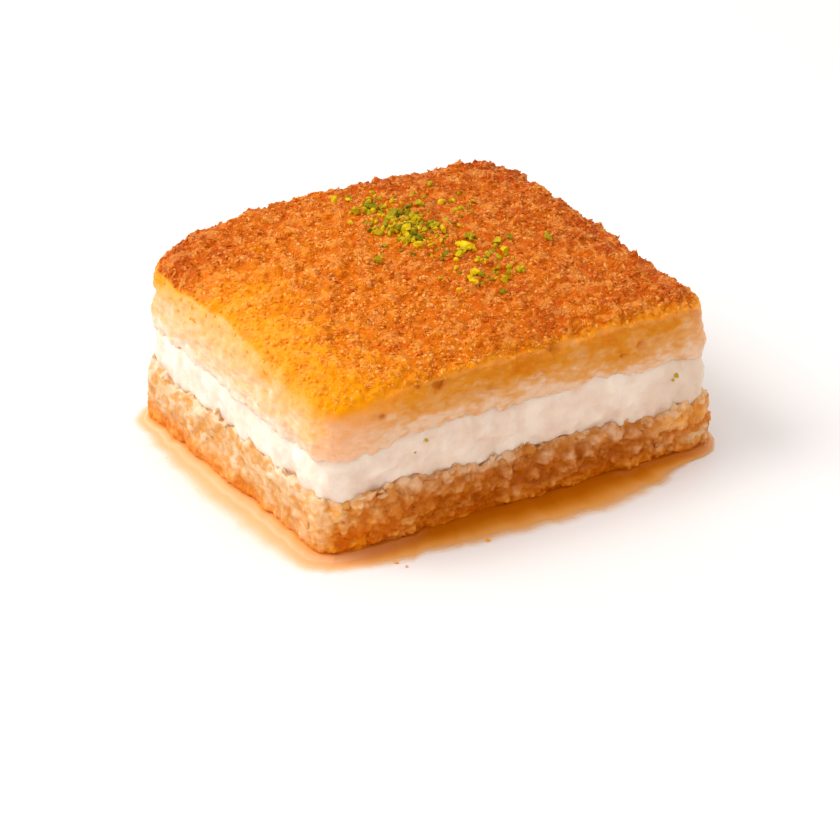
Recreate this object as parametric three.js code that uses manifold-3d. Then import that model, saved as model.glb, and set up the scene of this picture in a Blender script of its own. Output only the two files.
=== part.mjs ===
// A cut portion of ekmek kadayif: a slab of syrup-soaked bread, a layer of clotted cream and a
// second slab of bread with a browned, crowned crust, strewn with crushed pistachio.
//
// Millimetres, +Z up. The origin is the middle of the face it rests on. +X runs along the long
// cut side and +Y along the short one; the corner at -X -Y is the front corner.

import * as THREE from "three";
import { ImprovedNoise } from "three/addons/math/ImprovedNoise.js";
import { mergeVertices } from "three/addons/utils/BufferGeometryUtils.js";
import Module from "manifold-3d";

// ---- Driving dimensions ----

// Plan of the cut, counter-clockwise from the front corner, at the base and where the crust
// begins. The knife ran a little askew, so the portion is a slanting four-sided piece.
const FRONT_Y = -40.3;
const BASE_CORNERS = [
  { x: -45.3, y: FRONT_Y, radius: 4 },
  { x: 52.7, y: FRONT_Y, radius: 5 },
  { x: 43.5, y: 38, radius: 6 },
  { x: -53.5, y: 33, radius: 5 },
];
const TOP_CORNERS = [
  { x: -45.3, y: FRONT_Y + 0.5, radius: 5 },
  { x: 48.8, y: FRONT_Y + 0.5, radius: 6 },
  { x: 41, y: 37, radius: 9 },
  { x: -51.5, y: 36, radius: 12 },
];

const CREAM_START = 13.2; // height of the lower bread at the middle
const CREAM_START_SLOPE = -0.022; // it is thinner towards +X
const CREAM = { thickness: 11.6, thickestX: 12, thinning: 3.2, reach: 56 };
const WAVE = { slow: 1.35, slowLength: 13, quick: 0.8, quickLength: 7 }; // wander of cream lines
const WAVE_REACH = 9; // how far in from the cut face the waves die out
const LAYER_GAP = 0.4; // clear space between neighbouring layers

const SHOULDER_Z = 33.5; // where the front cut face ends and the crust begins to round over
const SHOULDER_RISE = 4.2;
const SHOULDER_REACH = 7; // how far in from the cut face the crust takes to round over
// The bread rose highest along its back, left of the middle.
const DOME = { rise: 6.6, x: -14, leftReach: 43, rightReach: 85, fromY: -52, toY: 35 };
const CROWN = 1; // a further rise at the very middle

const CRUMB_SIZE = 5.5; // size of the crags that show on the cut bread
const LOWER_CRAG = 0.95;
const UPPER_CRAG = 0.55;
const CREAM_CRAG = 0.4;
const CRUST_CRAG = 0.5;
const GRIT = 0.22; // unevenness finer than the crags

// A split runs under the crust along the front cut face.
const SPLIT = { z: 31, halfHeight: 1.5, depth: 1.5, from: -24, to: 46 };

const FACET = 2.8; // length of a facet's side where the surface shows
const EDGE = 0.6; // the narrow slope between a cut face and the face above or below it
const LAYER_INSETS = [3, 8, 22]; // rings over a face where one layer covers the next
const LAYER_SHARES = [0.7, 0.45, 0.35]; // share of their points that they keep
const CRUST_INSETS = [0.8, 1.9, 3.4, 5.4, 8]; // rings where the crust rounds over
const CRUST_RINGS = 12; // even steps from the last of those to the middle

// Crushed pistachio: the large pieces where they lie, then finer ones strewn in two heaps by a
// seeded rule, each heap an ellipse with its own direction, thinning outwards.
const PISTACHIO_PIECES = [
  { x: 9.4, y: -2.3, size: 4.6 },
  { x: 0.5, y: 7.8, size: 4.4 },
  { x: 3.1, y: 16.2, size: 3 },
  { x: 5.4, y: 11.8, size: 3 },
  { x: 1.6, y: 4.6, size: 3 },
  { x: 7.4, y: 9.2, size: 2.8 },
  { x: -2.4, y: 4.3, size: 2.8 },
  { x: -0.6, y: 1.8, size: 2.4 },
  { x: 12, y: 0.2, size: 2.6 },
  { x: 15.9, y: -14.4, size: 2.6 },
  { x: 27.5, y: -6, size: 2.3 },
  { x: 6.1, y: -12.2, size: 2.2 },
  { x: -11.4, y: -0.4, size: 2 },
  { x: 15.4, y: 24, size: 1.9 },
];
const STREWN_HEAPS = [
  { x: 1, y: 12, along: 17, across: 8, turn: 1.75, count: 32 },
  { x: 10, y: -10, along: 11, across: 9, turn: 1.2, count: 18 },
];
const STREWN_SIZE = [1.2, 2.3];
const STREWN_SEED = 1907;

// ---- Small helpers ----

const clamp01 = (t) => Math.min(1, Math.max(0, t));
const smooth = (t) => clamp01(t) ** 2 * (3 - 2 * clamp01(t));
const perlin = new ImprovedNoise();

// Repeatable numbers from 0 to 1: a Lehmer generator.
function seeded(seed) {
  let state = seed;
  return () => {
    state = (state * 48271) % 2147483647;
    return state / 2147483647;
  };
}

// Crags of about `size` across, from -1 to 1.
function crags(x, y, z, size) {
  const coarse = perlin.noise(x / size, y / size, z / size);
  const fine = perlin.noise((x * 2.3) / size + 9, (y * 2.3) / size, (z * 2.3) / size);
  return clamp01(0.5 + coarse + 0.45 * fine) * 2 - 1;
}

// ---- Shape of the portion ----

const mix = (from, to, t) => from + (to - from) * t;

// The plan outline at a height, moved in by `inset`: straight sides and rounded corners.
function outline(height, inset) {
  const t = height / SHOULDER_Z;
  const corners = BASE_CORNERS.map((base, i) => {
    const x = mix(base.x, TOP_CORNERS[i].x, t);
    const y = mix(base.y, TOP_CORNERS[i].y, t);
    return new THREE.Vector2(x - Math.sign(x) * inset, y - Math.sign(y) * inset);
  });
  const path = new THREE.Path();
  const start = corners[0].clone().lerp(corners[1], 0.5);
  path.moveTo(start.x, start.y);
  for (let i = 1; i <= 4; i++) {
    const before = corners[i - 1];
    const corner = corners[i % 4];
    const after = corners[(i + 1) % 4];
    const sharp = mix(BASE_CORNERS[i % 4].radius, TOP_CORNERS[i % 4].radius, t);
    const radius = Math.max(1, sharp - inset * 0.6);
    const enter = corner.clone().add(before.clone().sub(corner).setLength(radius));
    const leave = corner.clone().add(after.clone().sub(corner).setLength(radius));
    path.lineTo(enter.x, enter.y);
    path.quadraticCurveTo(corner.x, corner.y, leave.x, leave.y);
  }
  path.lineTo(start.x, start.y);
  return path;
}

// How far the cream lines wander at a place on the plan, near a cut face `inset` away.
function wave(x, y, inset, phase) {
  const fade = 1 - smooth(inset / WAVE_REACH);
  const slow = perlin.noise(x / WAVE.slowLength + phase, y / WAVE.slowLength, phase);
  const quick = perlin.noise(x / WAVE.quickLength, y / WAVE.quickLength + phase, phase);
  return fade * (WAVE.slow * slow + WAVE.quick * quick);
}

const creamStart = (x, y, inset) =>
  CREAM_START + CREAM_START_SLOPE * x + wave(x, y, inset, 0.4);
const creamEnd = (x, y, inset) =>
  CREAM_START +
  CREAM_START_SLOPE * x +
  CREAM.thickness -
  CREAM.thinning * ((x - CREAM.thickestX) / CREAM.reach) ** 2 +
  wave(x, y, inset, 3.7);

// Height where the cut face ends and the crust begins to round over.
function shoulder(x, y) {
  const reach = x < DOME.x ? DOME.leftReach : DOME.rightReach;
  const across = Math.max(0, 1 - ((x - DOME.x) / reach) ** 2);
  const along = smooth((y - DOME.fromY) / (DOME.toY - DOME.fromY));
  return SHOULDER_Z + DOME.rise * across * along;
}

// Height of the crust `inset` in from the cut face.
function crust(x, y, inset) {
  const round = 1 - clamp01(inset / SHOULDER_REACH);
  const crown = CROWN * (1 - (x / BASE_CORNERS[1].x) ** 2) * (1 - (y / FRONT_Y) ** 2);
  return shoulder(x, y) + SHOULDER_RISE * Math.sqrt(1 - round * round) + crown;
}

// One ring of points round the portion, `inset` in from the cut faces and then drawn in to the
// middle by `shrink`. `z` is a number or a function of x, y and inset.
function ring({ z, height, inset = 0, shrink = 1, crag = 0, lift = 0, share = 1, seed = 0 }) {
  const covered = Math.max(0, inset);
  const path = outline(height, inset);
  const count = Math.max(8, Math.round((path.getLength() * shrink * share) / FACET));
  const points = path.getSpacedPoints(count).slice(0, count);
  points.forEach((p) => p.multiplyScalar(shrink));
  return points.map((p, i) => {
    const before = points[(i + count - 1) % count];
    const after = points[(i + 1) % count];
    const out = new THREE.Vector2(after.y - before.y, before.x - after.x).normalize();
    const level = typeof z === "number" ? z : z(p.x, p.y, covered);
    const rough = crags(p.x, p.y, level, CRUMB_SIZE);
    const grit = perlin.noise(p.x * 1.7 + seed, p.y * 1.7, level * 1.7) * 2;
    const push = crag * rough + (crag ? GRIT * grit : 0) - splitDepth(p, level);
    const raise = lift * rough + (lift ? GRIT * grit : 0);
    return new THREE.Vector3(p.x + out.x * push, p.y + out.y * push, level + raise);
  });
}

// Depth of the split at a point of the cut face.
function splitDepth(p, z) {
  if (p.y > FRONT_Y + 4) return 0;
  const wander = perlin.noise(p.x / 9, 0.5, 2.5) * 1.2;
  const up = 1 - smooth(Math.abs(z - SPLIT.z - wander) / SPLIT.halfHeight);
  const along = smooth((p.x - SPLIT.from) / 8) * smooth((SPLIT.to - p.x) / 8);
  return SPLIT.depth * up * along;
}

// Joins rings into one closed surface, from the middle of the underside to the middle of the top.
// Neighbouring rings may have different numbers of points.
function loft(rings) {
  const vertices = [];
  const index = [];
  const middle = (points) =>
    points.reduce((sum, p) => sum.add(p), new THREE.Vector3()).divideScalar(points.length);
  const loops = [[middle(rings[0])], ...rings, [middle(rings[rings.length - 1])]];
  const starts = loops.map((loop) => {
    const start = vertices.length / 3;
    loop.forEach((p) => vertices.push(p.x, p.y, p.z));
    return start;
  });
  for (let k = 0; k + 1 < loops.length; k++) {
    const [n, m] = [loops[k].length, loops[k + 1].length];
    const low = (i) => starts[k] + (i % n);
    const high = (j) => starts[k + 1] + (j % m);
    const [lowSteps, highSteps] = [n === 1 ? 0 : n, m === 1 ? 0 : m];
    let [i, j] = [0, 0];
    while (i < lowSteps || j < highSteps) {
      const lowNext = i < lowSteps && (j >= highSteps || (i + 1) / lowSteps <= (j + 1) / highSteps);
      if (lowNext) index.push(low(i), low(++i), high(j));
      else index.push(low(i), high(j + 1), high(j++));
    }
  }
  const geometry = new THREE.BufferGeometry();
  geometry.setAttribute("position", new THREE.Float32BufferAttribute(vertices, 3));
  geometry.setIndex(index);
  return geometry;
}

// Rings over a hidden face, from its rim inwards, with few points.
function hiddenFace(level, height) {
  return LAYER_INSETS.map((inset, k) =>
    ring({ z: level, height, inset, share: LAYER_SHARES[k] }),
  );
}

// Rings up a cut face between two levels, at even steps.
function cutFace({ bottom, top, height, steps, inset, crag, seed }) {
  return Array.from({ length: steps + 1 }, (_, k) => {
    const t = k / steps;
    const z = (x, y) => mix(bottom(x, y, 0), top(x, y, 0), t);
    return ring({ z, height: height(t), inset: inset(t), crag, seed });
  });
}

// ---- The layers ----

const CREAM_END = CREAM_START + CREAM.thickness;
const bulge = (amount, t) => amount * Math.sin(Math.PI * t);

function lowerBread() {
  const top = (x, y, inset) => creamStart(x, y, inset) - LAYER_GAP / 2;
  return loft([
    ...hiddenFace(0, 0).reverse(),
    ring({ z: 0, height: 0, inset: EDGE, crag: LOWER_CRAG * 0.6 }),
    ...cutFace({
      bottom: () => EDGE,
      top: (x, y, inset) => top(x, y, inset) - EDGE,
      height: (t) => t * CREAM_START,
      steps: 5,
      inset: (t) => -bulge(0.3, t),
      crag: LOWER_CRAG,
      seed: 1,
    }),
    ring({ z: top, height: CREAM_START, inset: 1.5 * EDGE, crag: LOWER_CRAG * 0.5 }),
    ...hiddenFace(top, CREAM_START),
  ]);
}

function cream() {
  const bottom = (x, y, inset) => creamStart(x, y, inset) + LAYER_GAP / 2;
  const top = (x, y, inset) => creamEnd(x, y, inset) - LAYER_GAP / 2;
  const middle = mix(CREAM_START, CREAM_END, 0.5);
  const setBack = 0.9; // the knife drew the cream in a little behind the bread
  const rounding = 1;
  const rim = { height: middle, inset: setBack + rounding * 0.8, crag: CREAM_CRAG };
  return loft([
    ...hiddenFace(bottom, CREAM_START).reverse(),
    ring({ z: bottom, ...rim }),
    ...cutFace({
      bottom: (x, y, inset) => bottom(x, y, inset) + rounding,
      top: (x, y, inset) => top(x, y, inset) - rounding,
      height: () => middle,
      steps: 3,
      inset: (t) => setBack - bulge(0.6, t),
      crag: CREAM_CRAG,
      seed: 2,
    }),
    ring({ z: top, ...rim }),
    ...hiddenFace(top, CREAM_END),
  ]);
}

function upperBread() {
  const bottom = (x, y, inset) => creamEnd(x, y, inset) + LAYER_GAP / 2;
  const rings = [
    ...hiddenFace(bottom, CREAM_END).reverse(),
    ring({ z: bottom, height: CREAM_END, inset: 1.5 * EDGE, crag: UPPER_CRAG * 0.5 }),
    ...cutFace({
      bottom: (x, y, inset) => bottom(x, y, inset) + EDGE,
      top: shoulder,
      height: (t) => mix(CREAM_END, SHOULDER_Z, t),
      steps: 5,
      inset: (t) => 0.3 * t - bulge(0.2, t),
      crag: UPPER_CRAG,
      seed: 3,
    }),
  ];
  // The crust: rings that crowd where it rounds over, then ones drawn in evenly to the middle.
  const crustRing = (inset, shrink = 1) => {
    const crag = CRUST_CRAG * (1 - clamp01(inset / 4));
    const lift = CRUST_CRAG - crag * 0.6;
    return ring({ z: crust, height: SHOULDER_Z, inset, shrink, crag, lift, seed: 4 });
  };
  CRUST_INSETS.forEach((inset) => rings.push(crustRing(inset)));
  for (let k = 1; k < CRUST_RINGS; k++) {
    rings.push(crustRing(CRUST_INSETS.at(-1), 1 - k / CRUST_RINGS));
  }
  return loft(rings);
}

// ---- Crushed pistachio ----

// Every piece as { x, y, size }: the large ones, then the strewn ones.
function pistachioPlaces() {
  const random = seeded(STREWN_SEED);
  const spread = () => random() + random() + random() - 1.5;
  const strewn = STREWN_HEAPS.flatMap((heap) =>
    Array.from({ length: heap.count }, () => {
      const along = spread() * heap.along;
      const across = spread() * heap.across;
      const [low, high] = STREWN_SIZE;
      return {
        x: heap.x + along * Math.cos(heap.turn) - across * Math.sin(heap.turn),
        y: heap.y + along * Math.sin(heap.turn) + across * Math.cos(heap.turn),
        size: mix(low, high, random() ** 2),
      };
    }),
  );
  return [...PISTACHIO_PIECES, ...strewn];
}

// A broken bit of nut: an icosahedron with its sides stretched unevenly and turned any way.
function pistachioPiece({ x, y, size }, crustZ, random) {
  const geometry = new THREE.IcosahedronGeometry(size / 2, 0);
  const stretch = () => 0.78 + 0.4 * random();
  const turn = () => random() * Math.PI * 2;
  geometry.scale(stretch(), stretch(), stretch() * 0.85);
  geometry.rotateX(turn());
  geometry.rotateZ(turn());
  geometry.translate(x, y, crustZ + size * 0.18);
  return geometry;
}

// ---- Joining, with manifold-3d ----

const wasm = await Module();
wasm.setup();

function solidFrom(geometry) {
  const bare = geometry.clone();
  bare.deleteAttribute("normal");
  bare.deleteAttribute("uv");
  const merged = mergeVertices(bare, 1e-4);
  return new wasm.Manifold(
    new wasm.Mesh({
      numProp: 3,
      vertProperties: new Float32Array(merged.attributes.position.array),
      triVerts: new Uint32Array(merged.index.array),
    }),
  );
}

function geometryFrom(solid) {
  const { vertProperties, triVerts } = solid.getMesh();
  const geometry = new THREE.BufferGeometry();
  geometry.setAttribute("position", new THREE.BufferAttribute(vertProperties, 3));
  geometry.setIndex(new THREE.BufferAttribute(triVerts, 1));
  return geometry;
}

// The outer body alone: pockets that touching pieces have sealed between them are filled.
const outerBody = (solid) =>
  solid.decompose().reduce((a, b) => (a.volume() > b.volume() ? a : b));

// The height of a solid's top under a point, found by looking straight down at its triangles.
function heightFinder(geometry) {
  const mesh = new THREE.Mesh(geometry, new THREE.MeshBasicMaterial({ side: THREE.DoubleSide }));
  const ray = new THREE.Raycaster();
  const down = new THREE.Vector3(0, 0, -1);
  return (x, y) => {
    ray.set(new THREE.Vector3(x, y, 100), down);
    return ray.intersectObject(mesh)[0].point.z;
  };
}

function breadWithPistachio() {
  const bread = upperBread();
  const crustAt = heightFinder(bread);
  const random = seeded(STREWN_SEED + 1);
  let solid = solidFrom(bread);
  for (const place of pistachioPlaces()) {
    const piece = pistachioPiece(place, crustAt(place.x, place.y), random);
    solid = solid.add(solidFrom(piece));
  }
  return geometryFrom(outerBody(solid));
}

// ---- The object ----

function part(name, geometry, color, roughness) {
  geometry.computeVertexNormals();
  const material = new THREE.MeshStandardMaterial({
    color,
    roughness,
    metalness: 0,
    flatShading: true,
  });
  const mesh = new THREE.Mesh(geometry, material);
  mesh.name = name;
  return mesh;
}

const kadayif = new THREE.Group();
kadayif.name = "ekmek_kadayif";
kadayif.add(
  part("lower_bread", lowerBread(), 0xc98a45, 0.45),
  part("cream", cream(), 0xf6efe2, 0.5),
  part("upper_bread", breadWithPistachio(), 0xdd8a35, 0.35),
);

// The crags leave the plan a hair off centre, so the group is set over its own middle.
const extent = new THREE.Box3().setFromObject(kadayif);
const centre = extent.getCenter(new THREE.Vector3());
kadayif.position.set(-centre.x, -centre.y, -extent.min.z);

export default kadayif;
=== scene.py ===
# %% [markdown]
# # A portion of ekmek kadayif
# A slab of syrup-soaked bread, a layer of clotted cream and a second slab with a browned crust,
# strewn with crushed pistachio. The solids already have the right form and size. This lesson
# dresses them: open crumb, granular crust, soft cream, nuts and a film of syrup round the foot.

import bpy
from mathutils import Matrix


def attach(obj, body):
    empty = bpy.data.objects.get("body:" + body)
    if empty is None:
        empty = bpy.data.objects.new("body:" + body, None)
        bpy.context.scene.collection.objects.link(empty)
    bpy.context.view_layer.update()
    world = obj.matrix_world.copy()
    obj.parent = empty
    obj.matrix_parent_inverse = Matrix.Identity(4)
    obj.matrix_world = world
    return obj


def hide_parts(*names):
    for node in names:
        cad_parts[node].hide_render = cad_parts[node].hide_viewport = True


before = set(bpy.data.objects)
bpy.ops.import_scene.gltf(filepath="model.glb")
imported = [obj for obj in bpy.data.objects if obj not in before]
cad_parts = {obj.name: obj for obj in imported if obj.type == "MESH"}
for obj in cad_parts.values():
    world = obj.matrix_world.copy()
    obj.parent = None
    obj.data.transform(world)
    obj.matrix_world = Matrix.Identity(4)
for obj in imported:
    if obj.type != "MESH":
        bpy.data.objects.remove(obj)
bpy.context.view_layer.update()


# %% Libraries and the unit
import math

import bpy
import numpy as np
from mathutils import Vector, noise
from mathutils.kdtree import KDTree

MM = 0.001

# %% [markdown]
# ## The camera
# The portion was seen from a little over half a metre away with a long lens, from its front
# corner and from above. A long lens keeps the sides nearly parallel, so the distance hardly
# matters, but the height of the view does: it sets how much of the crust shows.

# %% Camera
VIEW_AZIMUTH, VIEW_ELEVATION = -29.2, 31  # degrees from straight in front, and from level
VIEW_DISTANCE = 600 * MM
VIEW_AIM = Vector((0.2, 2.4, 0)) * MM
LENS = 115.7
NEAREST_SEEN = 10 * MM


def way_to(azimuth, elevation):
    """The way from the portion to a camera or a light, from its two angles in degrees."""
    turn, rise = math.radians(azimuth), math.radians(elevation)
    return Vector((
        math.sin(turn) * math.cos(rise), -math.cos(turn) * math.cos(rise), math.sin(rise)))


def facing_back(way):
    """How a camera or a light is turned so that it looks back along the way to it."""
    return way.to_track_quat("Z", "Y").to_euler()


view_way = way_to(VIEW_AZIMUTH, VIEW_ELEVATION)
bpy.ops.object.camera_add(
    location=VIEW_AIM + view_way * VIEW_DISTANCE, rotation=facing_back(view_way))
camera = bpy.context.object
camera.data.lens = LENS
camera.data.clip_start = NEAREST_SEEN
bpy.context.scene.camera = camera
print("the camera stands", round(camera.location.length * 1000), "mm from the portion")

# %% [markdown]
# ## The table and the light
# A white table that runs off into the background, and one broad soft light high at the back left.
# It leaves the left cut face bright and the front one in a light shade. The world round them is a
# warm white, which fills the shadows.

# %% Table
TABLE_SIZE = 4.0
TABLE_COLOR, TABLE_ROUGHNESS = (0.86, 0.855, 0.86, 1), 0.5

bpy.ops.mesh.primitive_plane_add(size=TABLE_SIZE, location=(0, 0, 0))
table = bpy.context.object
table.name = "table_top"
table_white = bpy.data.materials.new("white table")
table_white.use_nodes = True
shader = table_white.node_tree.nodes["Principled BSDF"]
shader.inputs["Base Color"].default_value = TABLE_COLOR
shader.inputs["Roughness"].default_value = TABLE_ROUGHNESS
table.data.materials.append(table_white)

# %% Light and world
KEY_AZIMUTH, KEY_ELEVATION = -115, 50  # degrees, as for the camera
KEY_DISTANCE, KEY_SIZE, KEY_POWER = 1.0, 0.5, 6.3
KEY_COLOR = (1, 0.985, 0.96)
WORLD_COLOR, WORLD_STRENGTH = (1, 0.955, 0.925, 1), 0.92

key_way = way_to(KEY_AZIMUTH, KEY_ELEVATION)
bpy.ops.object.light_add(
    type="AREA", location=key_way * KEY_DISTANCE, rotation=facing_back(key_way))
key_light = bpy.context.object
key_light.name = "key_light"
key_light.data.shape = "SQUARE"
key_light.data.size = KEY_SIZE
key_light.data.energy = KEY_POWER
key_light.data.color = KEY_COLOR

world = bpy.context.scene.world or bpy.data.worlds.new("world")
bpy.context.scene.world = world
world.use_nodes = True
background = world.node_tree.nodes["Background"].inputs
background["Color"].default_value = WORLD_COLOR
background["Strength"].default_value = WORLD_STRENGTH
bpy.context.scene.view_settings.view_transform = "Standard"

# %% [markdown]
# ## Copies of the solids
# Each layer shows the same form as its solid, so each piece starts as a copy of it. The solid
# itself is loose triangles about 3 mm across, so the copy is merged, remeshed into even quads,
# smoothed and subdivided. That rounds the facets off and leaves a grid fine enough for crumb.

# %% Selecting and applying
def only(*pieces):
    """Selects these pieces and nothing else. The first one is active."""
    bpy.ops.object.select_all(action="DESELECT")
    for piece in pieces:
        piece.select_set(True)
    bpy.context.view_layer.objects.active = pieces[0]


def apply_modifier(piece, kind, **settings):
    """Adds a modifier, sets it and applies it."""
    only(piece)
    bpy.ops.object.modifier_add(type=kind)
    modifier = piece.modifiers[-1]
    for name, value in settings.items():
        setattr(modifier, name, value)
    bpy.ops.object.modifier_apply(modifier=modifier.name)


def read_points(piece, field):
    """What a field says of each point of a piece, as rows of three numbers."""
    flat = np.empty(len(piece.data.vertices) * 3, np.float32)
    piece.data.vertices.foreach_get(field, flat)
    return flat.reshape(-1, 3)


def places(piece):
    """Where each point of a piece lies, in millimetres."""
    return read_points(piece, "co") / MM


def normals(piece):
    """Which way each point of a piece faces."""
    return read_points(piece, "normal")


def edit_points(piece, chosen):
    """Opens a piece in edit mode with just the chosen points selected."""
    only(piece)
    bpy.ops.object.mode_set(mode="EDIT")
    bpy.ops.mesh.select_mode(type="VERT")
    bpy.ops.mesh.select_all(action="DESELECT")
    bpy.ops.object.mode_set(mode="OBJECT")
    piece.data.vertices.foreach_set("select", chosen)
    bpy.ops.object.mode_set(mode="EDIT")
    bpy.ops.mesh.select_mode(type="VERT")


SAME_PLACE = 0.001 * MM  # points that lie closer together than this are one


def copy_of_solid(node, name):
    """A merged copy of a solid, free to be reshaped."""
    only(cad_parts[node])
    bpy.ops.object.duplicate()
    piece = bpy.context.object
    piece.name = piece.data.name = name
    piece.parent = None
    for mark in [key for key in piece.keys() if key.startswith("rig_")]:
        del piece[mark]
    piece.data.materials.clear()
    bpy.ops.object.mode_set(mode="EDIT")
    bpy.ops.mesh.select_all(action="SELECT")
    bpy.ops.mesh.remove_doubles(threshold=SAME_PLACE)
    bpy.ops.object.mode_set(mode="OBJECT")
    return piece


def report(piece):
    """Prints how large a piece is and how many triangles it has."""
    at = places(piece)
    low, high = np.round(at.min(0), 1), np.round(at.max(0), 1)
    triangles = sum(len(face.vertices) - 2 for face in piece.data.polygons)
    print(piece.name, "spans", low, "to", high, "mm,", triangles, "triangles")


# %% [markdown]
# ## Taking the nuts off the upper copy
# The upper solid carries its lumps of nut fused to the crust. They come back further down as
# crisp bits of their own, so here they are cut off the copy: points that stand within a lump are
# deleted and the holes closed. The lumps' places follow the same rule as the solid's.

# %% Where the nuts lie
# The solid's own numbers, in millimetres, with a heap's turn in radians. The shift is how far the
# solids were moved when they were set over their own middle.
NUT_SHIFT = np.array([0.49, 1.59])
LARGE_NUTS = [
    (9.4, -2.3, 4.6), (0.5, 7.8, 4.4), (3.1, 16.2, 3.0), (5.4, 11.8, 3.0), (1.6, 4.6, 3.0),
    (7.4, 9.2, 2.8), (-2.4, 4.3, 2.8), (-0.6, 1.8, 2.4), (12, 0.2, 2.6), (15.9, -14.4, 2.6),
    (27.5, -6, 2.3), (6.1, -12.2, 2.2), (-11.4, -0.4, 2.0), (15.4, 24, 1.9),
]
# How yellow each of those is, from deep green at 0.
LARGE_NUT_TINTS = [1, 0.8, 0.25, 0.65, 0.15, 0.1, 0.55, 0.95, 0.35, 0.6, 0.45, 0.9, 0.3, 0.5]
NUT_HEAPS = [
    {"x": 1, "y": 12, "along": 17, "across": 8, "turn": 1.75, "count": 32},
    {"x": 10, "y": -10, "along": 11, "across": 9, "turn": 1.2, "count": 18},
]
SMALLEST_NUT, LARGEST_NUT = 1.2, 2.3
NUT_SEED = 1907
SEED_FACTOR, SEED_LIMIT = 48271, 2147483647


def seeded(seed):
    """Repeatable numbers from 0 to 1: the solid's own generator."""
    state = seed
    while True:
        state = state * SEED_FACTOR % SEED_LIMIT
        yield state / SEED_LIMIT


def nut_places():
    """Every lump of nut as x, y and size in millimetres, from the portion's middle."""
    random = seeded(NUT_SEED)

    def spread():
        """A number from -1.5 to 1.5 that is mostly near 0."""
        return next(random) + next(random) + next(random) - 1.5

    found = list(LARGE_NUTS)
    for heap in NUT_HEAPS:
        c, s = math.cos(heap["turn"]), math.sin(heap["turn"])
        for _ in range(heap["count"]):
            along, across = spread() * heap["along"], spread() * heap["across"]
            size = SMALLEST_NUT + (LARGEST_NUT - SMALLEST_NUT) * next(random) ** 2
            x = heap["x"] + along * c - across * s
            y = heap["y"] + along * s + across * c
            found.append((x, y, size))
    return np.array(found) + [*NUT_SHIFT, 0]


nuts = nut_places()
print(len(nuts), "lumps of nut, from", round(nuts[:, 2].min(), 1), "to", nuts[:, 2].max(), "mm")


# %% Heal the crust under them
CRUST_FROM = 34  # above this height there is only crust
LUMP_SHARE, LUMP_MARGIN = 0.62, 0.1  # a lump reaches this share of its size and a bit more


def heal_crust(piece):
    """Deletes the lumps of nut from the crust and closes the holes."""
    at = places(piece)
    crust = at[:, 2] > CRUST_FROM
    in_lump = np.zeros(len(at), bool)
    for x, y, size in nuts:
        away = np.hypot(at[:, 0] - x, at[:, 1] - y)
        in_lump |= crust & (away < size * LUMP_SHARE + LUMP_MARGIN)
    edit_points(piece, in_lump)
    bpy.ops.mesh.delete(type="VERT")
    bpy.ops.mesh.select_all(action="SELECT")
    bpy.ops.mesh.fill_holes(sides=0)
    bpy.ops.mesh.select_all(action="SELECT")
    bpy.ops.mesh.quads_convert_to_tris()
    bpy.ops.mesh.normals_make_consistent(inside=False)
    bpy.ops.object.mode_set(mode="OBJECT")
    print("took", int(in_lump.sum()), "points of nut off", piece.name)


# %% Round the facets off
def even_out(piece, voxel, smoothing, levels):
    """Remeshes a copy into even quads, smooths the facets away and subdivides."""
    apply_modifier(piece, "REMESH", mode="VOXEL", voxel_size=voxel * MM)
    apply_modifier(piece, "SMOOTH", factor=0.5, iterations=smoothing)
    apply_modifier(piece, "SUBSURF", levels=levels, render_levels=levels)


lower = copy_of_solid("lower_bread", "lower_bread_crumb")
even_out(lower, voxel=1.5, smoothing=2, levels=2)
cream = copy_of_solid("cream", "clotted_cream")
even_out(cream, voxel=1.6, smoothing=3, levels=1)
upper = copy_of_solid("upper_bread", "upper_bread_crumb")
heal_crust(upper)
even_out(upper, voxel=1.7, smoothing=3, levels=2)
LAYERS = (lower, cream, upper)
for piece in LAYERS:
    report(piece)

# %% [markdown]
# ## Masks
# Which part of a piece gets which finish follows from where a point lies and which way it faces.
# The values are worked out once and kept on the mesh: modifiers take them as vertex groups, and
# materials read them as attributes. From here on every place, height, reach and amount of relief
# is in millimetres, and a mask runs from 0 to 1.

# %% Soft steps and humps
def ease(low, high, value):
    """Rises smoothly from 0 to 1 as a value goes from low to high, or down to high."""
    part = np.clip((value - low) / (high - low), 0, 1)
    return part * part * (3 - 2 * part)


def hump(at, middle, reach):
    """1 at a middle, falling softly to nothing over a reach on each axis."""
    return np.exp(-(((at - np.array(middle)) / np.array(reach)) ** 2).sum(1))


# %% How far a point lies from the edges
OUTLINE_STEPS = 240  # directions in a ring round the portion
RIM_WIDTH = 4


def direction_of(at):
    """Which direction of the ring each point lies in."""
    turn = np.arctan2(at[:, 1], at[:, 0]) / (2 * np.pi)
    return np.round(turn * OUTLINE_STEPS).astype(int) % OUTLINE_STEPS


def outline_of(at):
    """How far points reach from the middle, in millimetres, in each direction of the ring."""
    reach = np.zeros(OUTLINE_STEPS)
    np.maximum.at(reach, direction_of(at), np.hypot(at[:, 0], at[:, 1]))
    return reach


def inset_of(at):
    """How far inside the piece's outline each point lies, in millimetres."""
    return outline_of(at)[direction_of(at)] - np.hypot(at[:, 0], at[:, 1])


def below_rim_of(at):
    """How far each point lies below the rim of its piece, in millimetres."""
    step, near = direction_of(at), inset_of(at) < RIM_WIDTH
    rim = np.zeros(OUTLINE_STEPS)
    np.maximum.at(rim, step[near], at[near, 2])
    return rim[step] - at[:, 2]


def shown_of(at, up):
    """1 where a layer shows, and 0 on its flat faces well inside the outline."""
    return 1 - ease(4, 7, inset_of(at)) * ease(0.3, 0.8, np.abs(up[:, 2]))


# %% Stored values and relief
SMALLEST_WEIGHT = 0.003  # a point with less of a mask is left alone


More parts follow.
